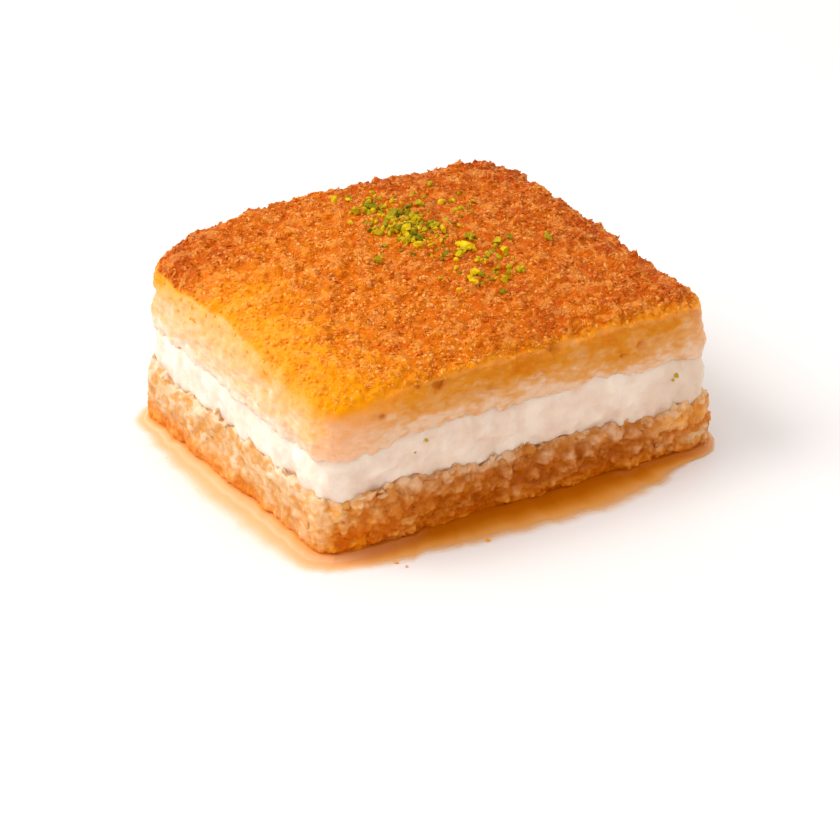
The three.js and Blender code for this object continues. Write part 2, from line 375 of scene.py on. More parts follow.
def keep_values(piece, name, values):
    """Stores one number for each point of a piece, for its material to read."""
    layer = piece.data.attributes.new(name, "FLOAT", "POINT")
    layer.data.foreach_set("value", np.asarray(values, np.float32))


def pattern(kind, size, **settings):
    """A pattern for relief, with features of a size in millimetres."""
    made = bpy.data.textures.new(f"{kind.lower()} of {size} mm", kind)
    made.noise_scale = size * MM
    for name, value in settings.items():
        setattr(made, name, value)
    return made


def clouds(size, depth):
    """Soft unevenness. A greater depth adds finer detail."""
    return pattern("CLOUDS", size, noise_depth=depth)


def push(piece, amount, mask, relief=None, middle=0.5, direction="NORMAL"):
    """Pushes a piece's skin in or out by a pattern, in millimetres, as far as a mask says."""
    only(piece)
    group = piece.vertex_groups.new(name="mask")
    for index in np.flatnonzero(mask > SMALLEST_WEIGHT):
        group.add([int(index)], float(mask[index]), "REPLACE")
    apply_modifier(piece, "DISPLACE", strength=amount * MM, mid_level=middle if relief else 0,
                   texture=relief, vertex_group=group.name, direction=direction)
    piece.vertex_groups.clear()


def relief_since(at, up, piece):
    """How far each point has moved outwards from where it was, in millimetres."""
    return ((places(piece) - at) * up).sum(1)


# %% [markdown]
# ## Ragged seams
# The cut drags crumb and cream over each other, so the seams between the layers run in small
# teeth. All three pieces are pushed up and down by one shared pattern near the cut faces. What
# lies on both sides of a seam moves together, so no gap opens.

# %% Drag the seams up and down
DRAG_SETS_IN, DRAG_DIES_AWAY = (3, 12), (29, 36)  # heights in millimetres
CUT_REACH = (3, 8)  # how far inside the outline the drag dies away
TEETH = ((2.6, 3.2), (0.9, 1.5))  # how deep and how wide

for piece in LAYERS:
    at = places(piece)
    near_cut = 1 - ease(*CUT_REACH, inset_of(at))
    between = ease(*DRAG_SETS_IN, at[:, 2]) * (1 - ease(*DRAG_DIES_AWAY, at[:, 2]))
    for depth, width in TEETH:
        push(piece, depth, near_cut * between, clouds(width, 1), direction="Z")
    apply_modifier(piece, "SMOOTH", factor=0.5, iterations=2)
    print(piece.name, "is dragged at", int((near_cut * between > 0.5).sum()), "points")

# %% [markdown]
# ## The lower bread
# Bread that has soaked in hot syrup falls into glassy lumps of two to four millimetres with dark
# gaps between them. The lumps are a cell pattern pushed out along the surface. A cell pattern of
# second distance less first has flat tops and sharp valleys, which is how torn wet crumb looks.
# The syrup has risen highest along the front cut face and in the near corner.

# %% Lumps and gaps of the lower bread
SLAB_TOP = (8, 11)  # heights over which the slab's upper face begins
BIG_LUMP, BIG_LUMP_REACH = (-6.7, 15.0), (3.4, 3.0)  # along and up the front cut face


def cell_pattern(size):
    """Lumps with sharp valleys between them."""
    return pattern("VORONOI", size, weight_1=-1, weight_2=1, noise_intensity=1.6)


at, up = places(lower), normals(lower)
shown = shown_of(at, up)
grip = shown * ease(0.2, 1.5, at[:, 2])
left = ease(0.3, 0.8, -up[:, 0])
high_left = left * ease(3, 8, at[:, 2])
push(lower, 0.8, shown * ease(0.1, 0.6, up[:, 2]) * ease(*SLAB_TOP, at[:, 2]), direction="Z")
push(lower, 1.6, grip * (1 - 0.4 * left), clouds(4.5, 1))
push(lower, 1.7, grip * (1 - 0.7 * left), cell_pattern(3.6), middle=0.25)
push(lower, 0.8, grip * (1 - 0.3 * left - 0.4 * high_left), cell_pattern(1.7), middle=0.25)
push(lower, 0.3, grip, clouds(0.8, 2))
big_lump = hump(at[:, [0, 2]], BIG_LUMP, BIG_LUMP_REACH) * ease(0.1, 0.5, -up[:, 1])
push(lower, 2.6, big_lump, direction="Z")
push(lower, 0.8, big_lump)
relief = relief_since(at, up, lower)
keep_values(lower, "relief", ease(-1.0, 1.0, relief))
print("lower bread relief from", relief.min().round(2), "to", relief.max().round(2), "mm")

# %% Where the lower bread is soaked
FRONT_FACE = (-26, -34)  # Y over which the front cut face begins
NEAR_CORNER, NEAR_CORNER_REACH = (-42, -39, 0), (20, 12, 13)

at = places(lower)
x, y, z = at.T
below_rim = below_rim_of(at)
front = ease(*FRONT_FACE, y)
soaked = 0.1 + 0.9 * front * ease(-43, -19, x) * (1 - 0.9 * ease(32, 44, x))
soaked *= 1 - 0.42 * (1 - ease(1.5, 5.5, below_rim))
keep_values(lower, "soaked", soaked)
near_corner = hump(at, NEAR_CORNER, NEAR_CORNER_REACH) * (1 - 0.4 * left)
right_end = 0.75 * front * ease(30, 42, x) * ease(-1, 2, below_rim) * ease(9, 6, below_rim)
climb = left * ease(-28, 5, y)
wet_foot = 1 - ease(0.5 + 2 * climb, 5.5 + 3 * climb, z)
keep_values(lower, "foot", np.max([wet_foot, 1.4 * near_corner, right_end], axis=0))
crumbly = shown * ease(1.4, 2.6, z) * (inset_of(at) < 3) * (1 - 0.75 * left)
keep_values(lower, "crumbly", crumbly)
print("crumbs may lie at", int((crumbly > 0.5).sum()), "points of the lower bread")

# %% [markdown]
# ## The cream
# Thick clotted cream, pressed between the slabs. It bulges softly, with a few smears and folds,
# so it only gets low, rounded relief.

# %% Soft lumps of the cream
at, up = places(cream), normals(cream)
shown = shown_of(at, up)
rim = 1 - ease(5, 7, inset_of(at))
push(cream, 2.0, rim * ease(0.1, 0.6, up[:, 2]), direction="Z")
push(cream, -1.8, rim * ease(0.1, 0.6, -up[:, 2]), direction="Z")
push(cream, 2.2, shown, clouds(3.5, 1))
push(cream, 0.6, shown, clouds(1.3, 2))
apply_modifier(cream, "SMOOTH", factor=0.5, iterations=1)
x, y, z = places(cream).T
# Painted shade: the cream's front and its right end are blended towards a darker, warmer cream.
keep_values(cream, "shaded", 0.25 * ease(-28, -36, y) + 0.5 * ease(28, 46, x))
report(cream)

# %% [markdown]
# ## The upper bread
# Above the cream the crumb is paler and closer, and it runs into the browned crust without a
# break on the left, and at a clean cut lip at the front. The crust is a field of small blistered
# lumps.

# %% Where crust, crumb and lip lie
CLUMP_SIZE, CLUMP_NOISE = 4.5, (1, 2, 3)  # the noise's roughness, step and octaves

at, up = places(upper), normals(upper)
x, y, z = at.T
inset, below_rim = inset_of(at), below_rim_of(at)
front = ease(0.5, 0.9, -up[:, 1])
top = ease(0.3, 0.75, up[:, 2])
under = ease(0.5, 0.9, -up[:, 2]) * ease(4, 7, inset)
crumb = (1 - top) * (1 - under)
from_left = x + 46 + 0.083 * (y + 39)  # the left cut face slants a little
clumps = np.array([noise.fractal(Vector(point) / CLUMP_SIZE, *CLUMP_NOISE) for point in at])
lip = front * (1 - ease(0.4, 2.6, below_rim + 1.2 * clumps))
pale_edge = (1 - ease(4, 30, from_left + 7 * clumps)) * (1 - ease(2, 24, y))
far = ease(8, 24, y)
baked = top * ease(31 - 2 * far, 38.5 - 2.5 * far, z) * (1 - 0.4 * pale_edge)
side = 0.15 * ease(23, 29, z) + ease(29, 38, z + 2 * clumps) * (
    0.2 + 0.2 * ease(-5, -28, y) + 0.3 * ease(15, 35, y))
crust = np.maximum(baked, side * (1 - under) * (1 - front))
crust = np.maximum(crust, 0.75 * lip)
print("the crust covers", round(100 * (crust > 0.5).mean()), "% of the upper bread's points")

# %% Blisters, pores and air holes of the upper bread
AIR_HOLES = [
    # x, height, width and depth of each hole in the front cut face
    (-17.2, 34.4, 1.8, 1.8), (-22.3, 35.4, 1.0, 1.0), (-24.2, 36.8, 1.2, 0.9),
    (-31.0, 31.2, 0.8, 0.9), (9.5, 35.6, 1.5, 1.0), (26.4, 29.0, 0.6, 0.8), (30.9, 30.5, 1.1, 0.8),
]
HOLE_FLATNESS = 0.75

push(upper, 2.2, top, clouds(3.5, 2))
push(upper, 1.2, top, cell_pattern(2.1), middle=0.25)
push(upper, 0.3, top, clouds(0.7, 2))
push(upper, 1.6, crumb, clouds(3.5, 1))
push(upper, 0.6, crumb * (1 + 0.8 * front), cell_pattern(2.6), middle=0.25)
push(upper, 0.3, crumb, clouds(0.9, 2))
push(upper, -0.8, (1 - ease(5, 7, inset)) * ease(0.1, 0.6, -up[:, 2]), direction="Z")
hole = np.zeros(len(at))
for across, height, width, depth in AIR_HOLES:
    spot = hump(at[:, [0, 2]], (across, height), (width, width * HOLE_FLATNESS)) * front
    push(upper, -depth, spot)
    hole = np.maximum(hole, spot)
relief = relief_since(at, up, upper)
keep_values(upper, "relief", ease(-0.9, 0.9, relief))
keep_values(upper, "crust", crust)
keep_values(upper, "hole", hole)
print("upper bread relief from", relief.min().round(2), "to", relief.max().round(2), "mm")

# %% Where the upper bread is browned, painted darker, soaked and granular
CRUMB_DEPTH = 11  # how far the crumb goes on below the lip

at = places(upper)
x, y, z = at.T
far_edge = ease(12, 36, y)
right_edge = ease(22, 46, x)
left_corner = hump(at[:, :2], (-46, 30), (20, 16))
# The right half of the crust is painted darker: partly browner crust, partly painted shade of the
# light falling off from the left.
right_half = ease(-15, 10, x)
keep_values(upper, "browned_and_shaded", np.clip(
    0.3 * far_edge + 0.5 * right_half + 0.36 * right_edge + 0.6 * left_corner, 0, 1))
keep_values(upper, "soaked", front * ease(-52, -24, x) * (1 - 0.3 * ease(40, 50, x)))
on_front = at[:, [0, 2]]
darker = 0.32 * hump(on_front, (3, 33), (6, 3)) + 0.25 * hump(on_front, (24, 29), (12, 3))
keep_values(upper, "below_lip", 1 - (below_rim_of(at) / CRUMB_DEPTH).clip(0, 1) + darker)
# Painted glow: the front-left corner of the crust, the crumb under it and the front lip are
# painted a brighter yellow-orange, as where light shines through the thin crust.
glow_at_corner = 1.3 * hump(at, (-41, -39, 37.5), (16, 8, 6)).clip(0, 0.77)
glow_below = 0.45 * hump(at, (-43, -39, 29), (8, 8, 10))
glow_along_lip = 0.8 * hump(at[:, 1:], (-39, 37.5), (3, 1.6))
keep_values(upper, "corner_glow", np.max([glow_at_corner, glow_below, glow_along_lip], axis=0))
straggling = 0.4 * ease(0.4, 0.8, -up[:, 0]) * ease(33, 38, z + 3 * clumps)
granular = np.max([ease(0.4, 0.9, top) * ease(32, 36, z), 0.5 * lip, straggling], axis=0)
granular *= 0.6 + 0.4 * ease(0.6, 0.9, crust)
keep_values(upper, "granular", granular * (0.35 + 0.65 * ease(-0.45, 0.45, clumps)))
report(upper)

# %% Thin the hidden faces
HIDDEN_FROM = 7  # this far inside the outline another layer hides the flat faces
FLAT = 0.8
ON_THE_TABLE = 0.05
KEPT_SHARE = 0.08

for piece in LAYERS:
    at, up = places(piece), normals(piece)[:, 2]
    covered = (up < -FLAT) | ((piece != upper) & (up > FLAT))
    inside = (inset_of(at) > HIDDEN_FROM) & covered
    edit_points(piece, inside | (at[:, 2] < ON_THE_TABLE))
    bpy.ops.mesh.decimate(ratio=KEPT_SHARE)
    bpy.ops.object.mode_set(mode="OBJECT")
    report(piece)

# %% [markdown]
# ## Node helpers and shared effects
# A node tree is written out as one call for each node. Three effects turn up in more than one
# material: a soft mottling, a grain of small cells that gives each crumb its own tone and its own
# bump, and the patches of the crust. They are groups, so each material places them with its own
# values.

# %% Building nodes
def add_node(tree, kind, inputs=None, **settings):
    """Adds a node with its options set. Each input takes a value, or another node's output."""
    node = tree.nodes.new(kind)
    for name, value in settings.items():
        setattr(node, name, value)
    for socket, value in (inputs or {}).items():
        if isinstance(value, bpy.types.NodeSocket):
            tree.links.new(value, node.inputs[socket])
        else:
            node.inputs[socket].default_value = value
    return node


def tone(*levels):
    """Red, green and blue as they look on a screen, 0 to 255, as a colour for a socket."""
    return *(((v / 255 + 0.055) / 1.055) ** 2.4 if v > 10 else v / 3294.6 for v in levels), 1


def color_ramp(tree, value, stops):
    """Turns a value into a colour through stops of value, red, green and blue."""
    node = add_node(tree, "ShaderNodeValToRGB", {"Fac": value})
    line = node.color_ramp.elements
    while len(line) < len(stops):
        line.new(0.5)
    for stop, (position, *levels) in zip(line, stops):
        stop.position, stop.color = position, tone(*levels)
    return node.outputs["Color"]


def blend(tree, amount, first, second):
    """Mixes two colours. The node keeps its colours at inputs 6 and 7 and at output 2."""
    return add_node(tree, "ShaderNodeMix", {0: amount, 6: first, 7: second},
                    data_type="RGBA").outputs[2]


def calculate(tree, operation, first, second, third=0.0):
    """One sum on numbers."""
    return add_node(tree, "ShaderNodeMath", {0: first, 1: second, 2: third},
                    operation=operation).outputs[0]


def clamp(tree, value):
    """Keeps a number between 0 and 1."""
    return add_node(tree, "ShaderNodeClamp", {"Value": value}).outputs[0]


def rescale(tree, value, low, high, strongest=1.0, **settings):
    """Goes from 0 to its strongest as a value goes from low to high."""
    return add_node(tree, "ShaderNodeMapRange", {
        "Value": value, "From Min": low, "From Max": high, "To Max": strongest},
        **settings).outputs[0]


def stretch(tree, place, scale):
    """Draws a pattern out along an axis where its scale is under 1."""
    return add_node(tree, "ShaderNodeMapping", {"Vector": place, "Scale": scale}).outputs[0]


def stored(tree, name):
    """A number kept on the mesh."""
    return add_node(tree, "ShaderNodeAttribute", attribute_name=name).outputs["Fac"]


def new_group(name, inputs, outputs):
    """An empty node group with named sockets."""
    group = bpy.data.node_groups.new(name, "ShaderNodeTree")
    for socket, kind, value in inputs:
        made = group.interface.new_socket(socket, in_out="INPUT", socket_type=kind)
        if value is not None:
            made.default_value = value
    for socket, kind in outputs:
        group.interface.new_socket(socket, in_out="OUTPUT", socket_type=kind)
    return group, group.nodes.new("NodeGroupInput").outputs, group.nodes.new("NodeGroupOutput")


def use_group(tree, group, inputs):
    """Places a node group in a tree and returns its outputs."""
    return add_node(tree, "ShaderNodeGroup", inputs, node_tree=group).outputs


# %% Soft mottling
mottling, given, result = new_group(
    "soft mottling",
    [("Place", "NodeSocketVector", None), ("Size", "NodeSocketFloat", 3.0),
     ("Contrast", "NodeSocketFloat", 2.0)],
    [("Value", "NodeSocketFloat")])
per_metre = calculate(mottling, "DIVIDE", 1 / MM, given["Size"])
cloud = add_node(mottling, "ShaderNodeTexNoise",
                 {"Vector": given["Place"], "Scale": per_metre, "Detail": 3.0})
spread = calculate(mottling, "SUBTRACT", cloud.outputs["Fac"], 0.5)
spread = calculate(mottling, "MULTIPLY_ADD", spread, given["Contrast"], 0.5)
mottling.links.new(clamp(mottling, spread), result.inputs["Value"])


def mottle(tree, place, size, contrast):
    """Soft mottling from 0 to 1, with patches of a size in millimetres."""
    return use_group(tree, mottling, {"Place": place, "Size": size, "Contrast": contrast})["Value"]


# %% Crumb grain
grain, given, result = new_group(
    "crumb grain",
    [("Place", "NodeSocketVector", None), ("Size", "NodeSocketFloat", 0.8),
     ("Warp", "NodeSocketFloat", 0.4)],
    [("Height", "NodeSocketFloat"), ("Tone", "NodeSocketFloat")])
per_metre = calculate(grain, "DIVIDE", 1 / MM, given["Size"])
warp = add_node(grain, "ShaderNodeTexNoise", {"Vector": given["Place"], "Scale": per_metre})
warp = add_node(grain, "ShaderNodeVectorMath", {0: warp.outputs["Color"], 1: (0.5, 0.5, 0.5)},
                operation="SUBTRACT")
reach = calculate(grain, "MULTIPLY", given["Warp"], given["Size"])
reach = calculate(grain, "MULTIPLY", reach, 2 * MM)
warp = add_node(grain, "ShaderNodeVectorMath", {0: warp.outputs[0], "Scale": reach},
                operation="SCALE")
bent = add_node(grain, "ShaderNodeVectorMath", {0: given["Place"], 1: warp.outputs[0]},
                operation="ADD")
cells = add_node(grain, "ShaderNodeTexVoronoi", {"Vector": bent.outputs[0], "Scale": per_metre,
                                                 "Smoothness": 0.35}, feature="SMOOTH_F1")
height = calculate(grain, "SUBTRACT", 1.0, cells.outputs["Distance"])
grain.links.new(height, result.inputs["Height"])
parts = add_node(grain, "ShaderNodeSeparateColor", {"Color": cells.outputs["Color"]})
grain.links.new(parts.outputs[0], result.inputs["Tone"])


def crumb_grain(tree, place, size, warp):
    """Crumb grain with cells of a size in millimetres, and how ragged they are."""
    return use_group(tree, grain, {"Place": place, "Size": size, "Warp": warp})


# %% Patches of the crust
patches, given, result = new_group(
    "crust patches", [("Place", "NodeSocketVector", None)],
    [("Broad", "NodeSocketFloat"), ("Blister", "NodeSocketFloat"), ("Scorch", "NodeSocketFloat")])
patches.links.new(mottle(patches, given["Place"], 7.0, 2.2), result.inputs["Broad"])
light_spots = mottle(patches, given["Place"], 3.2, 6.0)
dark_spots = calculate(patches, "SUBTRACT", 1.0, mottle(patches, given["Place"], 2.3, 6.0))
for name, spots, strongest in (("Blister", light_spots, 0.3), ("Scorch", dark_spots, 0.5)):
    patches.links.new(rescale(patches, spots, 0.75, 1.0, strongest), result.inputs[name])


# %% A material to start from
def new_material(name, roughness, shine=0.5, glow=0.0, glow_reach=(1.0, 0.7, 0.4)):
    """A material with its shader's constant settings made, and the tree to add nodes to."""
    material = bpy.data.materials.new(name)
    material.use_nodes = True
    tree = material.node_tree
    shader = tree.nodes["Principled BSDF"]
    shader.inputs["Roughness"].default_value = roughness
    shader.inputs["Specular IOR Level"].default_value = shine
    shader.inputs["Subsurface Weight"].default_value = glow
    shader.inputs["Subsurface Radius"].default_value = glow_reach
    shader.inputs["Subsurface Scale"].default_value = MM
    place = add_node(tree, "ShaderNodeTexCoord").outputs["Object"]
    return material, tree, shader, place


def raise_bump(tree, shader, height, distance):
    """Feeds a height pattern to the shader as a bump, its depth in millimetres."""
    bump = add_node(tree, "ShaderNodeBump", {"Height": height, "Distance": distance * MM})
    tree.links.new(bump.outputs["Normal"], shader.inputs["Normal"])


def wear(piece, material):
    """Gives a piece its one material."""
    piece.data.materials.clear()
    piece.data.materials.append(material)
    print(piece.name, "wears", material.name, "of", len(material.node_tree.nodes), "nodes")


# %% [markdown]
# ## The soaked crumb's material
# Syrup makes the crumb glassy: light goes in and comes out warmer, so the shader scatters light
# below the surface. Lumps are paler and gaps deep amber, partly from syrup gathered in the gaps
# and partly as painted shade, and the foot stands in syrup.

# %% Soaked crumb
def soaked_material(name, glow):
    """Wet bread, with or without light scattering below its surface."""
    material, tree, shader, place = new_material(
        name, 0.32, shine=0.09, glow=glow, glow_reach=(1.2, 0.8, 0.45))
    wide = stretch(tree, place, (0.7, 0.7, 1.1))
    cell = crumb_grain(tree, wide, 2.0, 0.6)
    fine = crumb_grain(tree, place, 0.7, 0.5)
    patch = mottle(tree, place, 6.0, 2.4)
    own_tone = calculate(tree, "MULTIPLY_ADD", cell["Tone"], 0.35, -0.12)
    # The lower a point lies, the deeper and darker its amber: partly syrup in the gaps, partly
    # painted shade.
    lift = calculate(tree, "MULTIPLY_ADD", stored(tree, "relief"), 0.75, own_tone)
    wet = color_ramp(tree, lift, [
        (0.1, 173, 86, 6), (0.4, 190, 107, 26), (0.62, 205, 134, 74), (0.9, 216, 160, 112)])
    pale = color_ramp(tree, lift, [
        (0.05, 202, 130, 44), (0.25, 214, 162, 100), (0.5, 226, 192, 150), (0.8, 234, 212, 184)])
    glassy = rescale(tree, mottle(tree, wide, 2.0, 5.0), 0.6, 1.0, 0.7)
    pale = blend(tree, glassy, pale, tone(220, 146, 44))
    color = blend(tree, stored(tree, "soaked"), pale, wet)
    amber = color_ramp(tree, lift, [(0.1, 208, 102, 0), (0.7, 240, 157, 20)])
    uneven = calculate(tree, "MULTIPLY_ADD", patch, 0.3, 0.65)
    foot = calculate(tree, "MULTIPLY", stored(tree, "foot"), uneven)
    color = blend(tree, clamp(tree, foot), color, amber)
    tree.links.new(color, shader.inputs["Base Color"])
    height = calculate(tree, "MULTIPLY_ADD", fine["Height"], 0.5, cell["Height"])
    raise_bump(tree, shader, height, 0.15)
    return material


soaked_crumb = soaked_material("soaked crumb", glow=0.4)
wear(lower, soaked_crumb)

# %% [markdown]
# ## The cream's material
# Milk fat scatters light a long way, so the cream is nearly white and has soft shadows. It gets a
# strong scatter and just a trace of a warm tint, with a satin surface. Its front and right end
# carry painted shade, a darker and warmer cream.

# %% Cream
cream_white, tree, shader, place = new_material(
    "clotted cream", 0.42, shine=0.25, glow=0.6, glow_reach=(1.8, 1.4, 1.0))
patch = mottle(tree, place, 5.0, 2.6)
color = color_ramp(tree, patch, [(0.05, 236, 210, 190), (0.8, 250, 234, 218)])
# painted shade on the front and the right end, from the stored mask
color = blend(tree, stored(tree, "shaded"), color, tone(222, 196, 172))
tree.links.new(color, shader.inputs["Base Color"])
fine = crumb_grain(tree, place, 1.4, 0.8)
raise_bump(tree, shader, fine["Height"], 0.12)
wear(cream, cream_white)

# %% [markdown]
# ## The upper bread's material
# One material runs from the pale crumb to the crust, led by the stored values. The colour goes
# pale, yellow, glowing orange and then brown, as baked sugar does.

# %% Crumb and crust
crust_and_crumb, tree, shader, place = new_material(
    "browned crust and crumb", 0.35, shine=0.05, glow=0.25)
patch = use_group(tree, patches, {"Place": place})
wide = stretch(tree, place, (0.6, 0.6, 1.2))
small_patch = mottle(tree, wide, 1.8, 2.4)
streak = mottle(tree, wide, 3.0, 2.4)
cell = crumb_grain(tree, place, 0.8, 0.8)
lump = crumb_grain(tree, wide, 1.6, 0.8)

crust_level = calculate(tree, "ADD", stored(tree, "crust"), -0.09)
crust_level = calculate(tree, "MULTIPLY_ADD", small_patch, 0.18, crust_level)
pale_side = color_ramp(tree, crust_level, [
    (0.0, 250, 217, 194), (0.1, 248, 197, 154), (0.22, 249, 183, 122), (0.42, 251, 166, 70),
    (0.62, 246, 152, 6), (0.95, 208, 110, 0)])
syrupy = calculate(tree, "MULTIPLY", lump["Height"], 0.36)
syrupy = calculate(tree, "MULTIPLY_ADD", streak, 0.28, syrupy)
syrupy = calculate(tree, "ADD", syrupy, 0.4)
syrupy = calculate(tree, "MULTIPLY_ADD", stored(tree, "below_lip"), -0.65, syrupy)
tan = color_ramp(tree, syrupy, [
    (0.0, 211, 114, 2), (0.3, 219, 138, 36), (0.55, 225, 161, 94), (0.8, 233, 194, 160)])
not_crust = calculate(tree, "SUBTRACT", 1.0, stored(tree, "crust"))
soaked = calculate(tree, "MULTIPLY", stored(tree, "soaked"), not_crust)
color = blend(tree, soaked, pale_side, tan)

on_crust = rescale(tree, stored(tree, "crust"), 0.4, 0.75)
well_done = rescale(tree, stored(tree, "crust"), 0.6, 0.95)
# Browning, with painted shade over the right half, darkens the crust.
browning_and_shade = calculate(tree, "ADD", stored(tree, "browned_and_shaded"), -0.35)
browning_and_shade = calculate(tree, "MULTIPLY_ADD", patch["Broad"], 0.7, browning_and_shade)
fleck = rescale(tree, cell["Tone"], 0.62, 0.9, 0.55)
# Pits in the crust turn a deeper, darker orange: partly syrup lying in them, partly painted shade.
pit = rescale(tree, stored(tree, "relief"), 0.45, 0.2, 0.4)
for spots, where, shade in (
        (clamp(tree, browning_and_shade), well_done, tone(172, 66, 8)),
        (patch["Scorch"], well_done, tone(188, 70, 4)),
        (patch["Blister"], on_crust, tone(250, 176, 84)),
        (fleck, on_crust, tone(236, 150, 56)),
        (pit, on_crust, tone(214, 94, 0))):
    color = blend(tree, calculate(tree, "MULTIPLY", spots, where), color, shade)
# painted glow at the front-left corner and along the front lip
color = blend(tree, stored(tree, "corner_glow"), color, tone(246, 152, 0))
color = blend(tree, stored(tree, "hole"), color, tone(206, 116, 14))
tree.links.new(color, shader.inputs["Base Color"])
roughened = calculate(tree, "MULTIPLY_ADD", on_crust, 0.6, 0.4)
height = calculate(tree, "MULTIPLY_ADD", cell["Height"], roughened, lump["Height"])
raise_bump(tree, shader, height, 0.22)
wear(upper, crust_and_crumb)

# %% [markdown]
# ## Strewing small things
# Granules, crumbs and nut dust are each one small shape repeated hundreds or thousands of times.
# Geometry Nodes suit that: points are scattered over a surface with a stored value as the chance,
# a copy of the shape is set on each with its own turn and size, and all is made one mesh. The
# points carry the surface's stored values with them, so the copies know where they lie.

# %% A tool for strewing
PER_M2 = 1e4  # square centimetres in a square metre


def strew(surface, shape, name, chance, per_cm2, smallest, largest, seed, tilt=0.5, sink=0.15):
    """Strews copies of a shape over a surface, between two sizes, and makes them one piece.

    The tilt is in radians, and the copies sink in by so many millimetres."""
    only(surface)
    bpy.ops.object.duplicate()
    piece = bpy.context.object
    piece.name = piece.data.name = name
    tree = bpy.data.node_groups.new(name, "GeometryNodeTree")
    tree.interface.new_socket("Geometry", in_out="INPUT", socket_type="NodeSocketGeometry")
    tree.interface.new_socket("Geometry", in_out="OUTPUT", socket_type="NodeSocketGeometry")
    skin = tree.nodes.new("NodeGroupInput").outputs[0]
    where = add_node(tree, "GeometryNodeInputNamedAttribute", {"Name": chance}, data_type="FLOAT")
    thickness = calculate(tree, "MULTIPLY", where.outputs["Attribute"], per_cm2 * PER_M2)
    points = add_node(tree, "GeometryNodeDistributePointsOnFaces",
                      {"Mesh": skin, "Density": thickness, "Seed": seed})
    turn = add_node(tree, "FunctionNodeRandomValue", {
        0: (-tilt, -tilt, 0), 1: (tilt, tilt, 2 * math.pi), "Seed": seed + 1},
        data_type="FLOAT_VECTOR")
    turn = add_node(tree, "FunctionNodeRotateRotation", {
        "Rotation": points.outputs["Rotation"], "Rotate By": turn.outputs[0]},
        rotation_space="LOCAL")
    size = add_node(tree, "FunctionNodeRandomValue", {
        0: smallest, 1: largest, "Seed": seed + 2}, data_type="FLOAT_VECTOR")
    model = add_node(tree, "GeometryNodeObjectInfo", {"Object": shape, "As Instance": True})
    copies = add_node(tree, "GeometryNodeInstanceOnPoints", {
        "Points": points.outputs["Points"], "Instance": model.outputs["Geometry"],
        "Rotation": turn.outputs[0], "Scale": size.outputs[0]})
    sunk = add_node(tree, "GeometryNodeTranslateInstances", {
        "Instances": copies.outputs[0], "Translation": (0, 0, -sink * MM), "Local Space": True})
    shade = add_node(tree, "FunctionNodeRandomValue", {"Seed": seed + 3}, data_type="FLOAT")
    toned = add_node(tree, "GeometryNodeStoreNamedAttribute", {
        "Geometry": sunk.outputs[0], "Name": "tint", "Value": shade.outputs[1]},
        data_type="FLOAT", domain="INSTANCE")
    real = add_node(tree, "GeometryNodeRealizeInstances", {"Geometry": toned.outputs[0]})
    smooth = add_node(tree, "GeometryNodeSetShadeSmooth", {"Geometry": real.outputs[0]})
    add_node(tree, "NodeGroupOutput", {0: smooth.outputs[0]})
    apply_modifier(piece, "NODES", node_group=tree)
    bpy.data.node_groups.remove(tree)
    report(piece)
    return piece


# %% [markdown]
# ## Granules on the crust
# The top of this bread is coarse: fried grains and blisters, bean-shaped and about a millimetre
# long. A 20-faced ball pulled long and bent in edit mode is enough for each of them.

# %% Model one granule and strew it
UNIT_BALL = 0.5  # the radius of a ball 1 mm across, which resizing then makes its true size
BEAN_FLATNESS, BEAN_DROOP = 0.8, 0.5
BEAN_ENDS = 0.3  # points past this share of the length are bent


def open_ball(radius, subdivisions=2):
    """A faceted ball at the origin, its radius in millimetres, open in edit mode."""
    bpy.ops.mesh.primitive_ico_sphere_add(
        subdivisions=subdivisions, radius=radius * MM, location=(0, 0, 0))
    ball = bpy.context.object
    bpy.ops.object.mode_set(mode="EDIT")
    return ball


def model_grain(name, length, width, bend):
    """A bean-shaped crumb that lies along X at the origin, measured in millimetres."""
    bean = open_ball(UNIT_BALL, subdivisions=1)
    bean.name = name
    bpy.ops.transform.resize(value=(length, width, width * BEAN_FLATNESS))
    bpy.ops.object.mode_set(mode="OBJECT")
    edit_points(bean, np.abs(places(bean)[:, 0]) > BEAN_ENDS * length)
    bpy.ops.transform.translate(value=(0, bend * MM, -BEAN_DROOP * bend * MM))
    bpy.ops.object.mode_set(mode="OBJECT")
    return bean


flake = model_grain("flake", length=1.7, width=0.5, bend=0.3)
blister = model_grain("blister", length=1.1, width=0.9, bend=0.1)
flakes = strew(upper, flake, "crust_flakes", "granular", per_cm2=120,
               smallest=(0.5, 0.5, 0.5), largest=(1.2, 1.3, 1.1), seed=5, sink=0.06)
blisters = strew(upper, blister, "crust_blisters", "granular", per_cm2=90,
                 smallest=(0.5, 0.5, 0.5), largest=(1.5, 1.4, 1.1), seed=25, sink=0.15)

# %% Granule material
toasted, tree, shader, place = new_material("toasted granules", 0.35, shine=0.08)
tint = stored(tree, "tint")
light = color_ramp(tree, tint, [
    (0.0, 208, 98, 2), (0.35, 222, 120, 12), (0.7, 234, 144, 44), (0.97, 246, 174, 96)])
brown = color_ramp(tree, tint, [
    (0.0, 158, 60, 0), (0.5, 190, 90, 14), (0.95, 216, 128, 48)])
patch = use_group(tree, patches, {"Place": place})
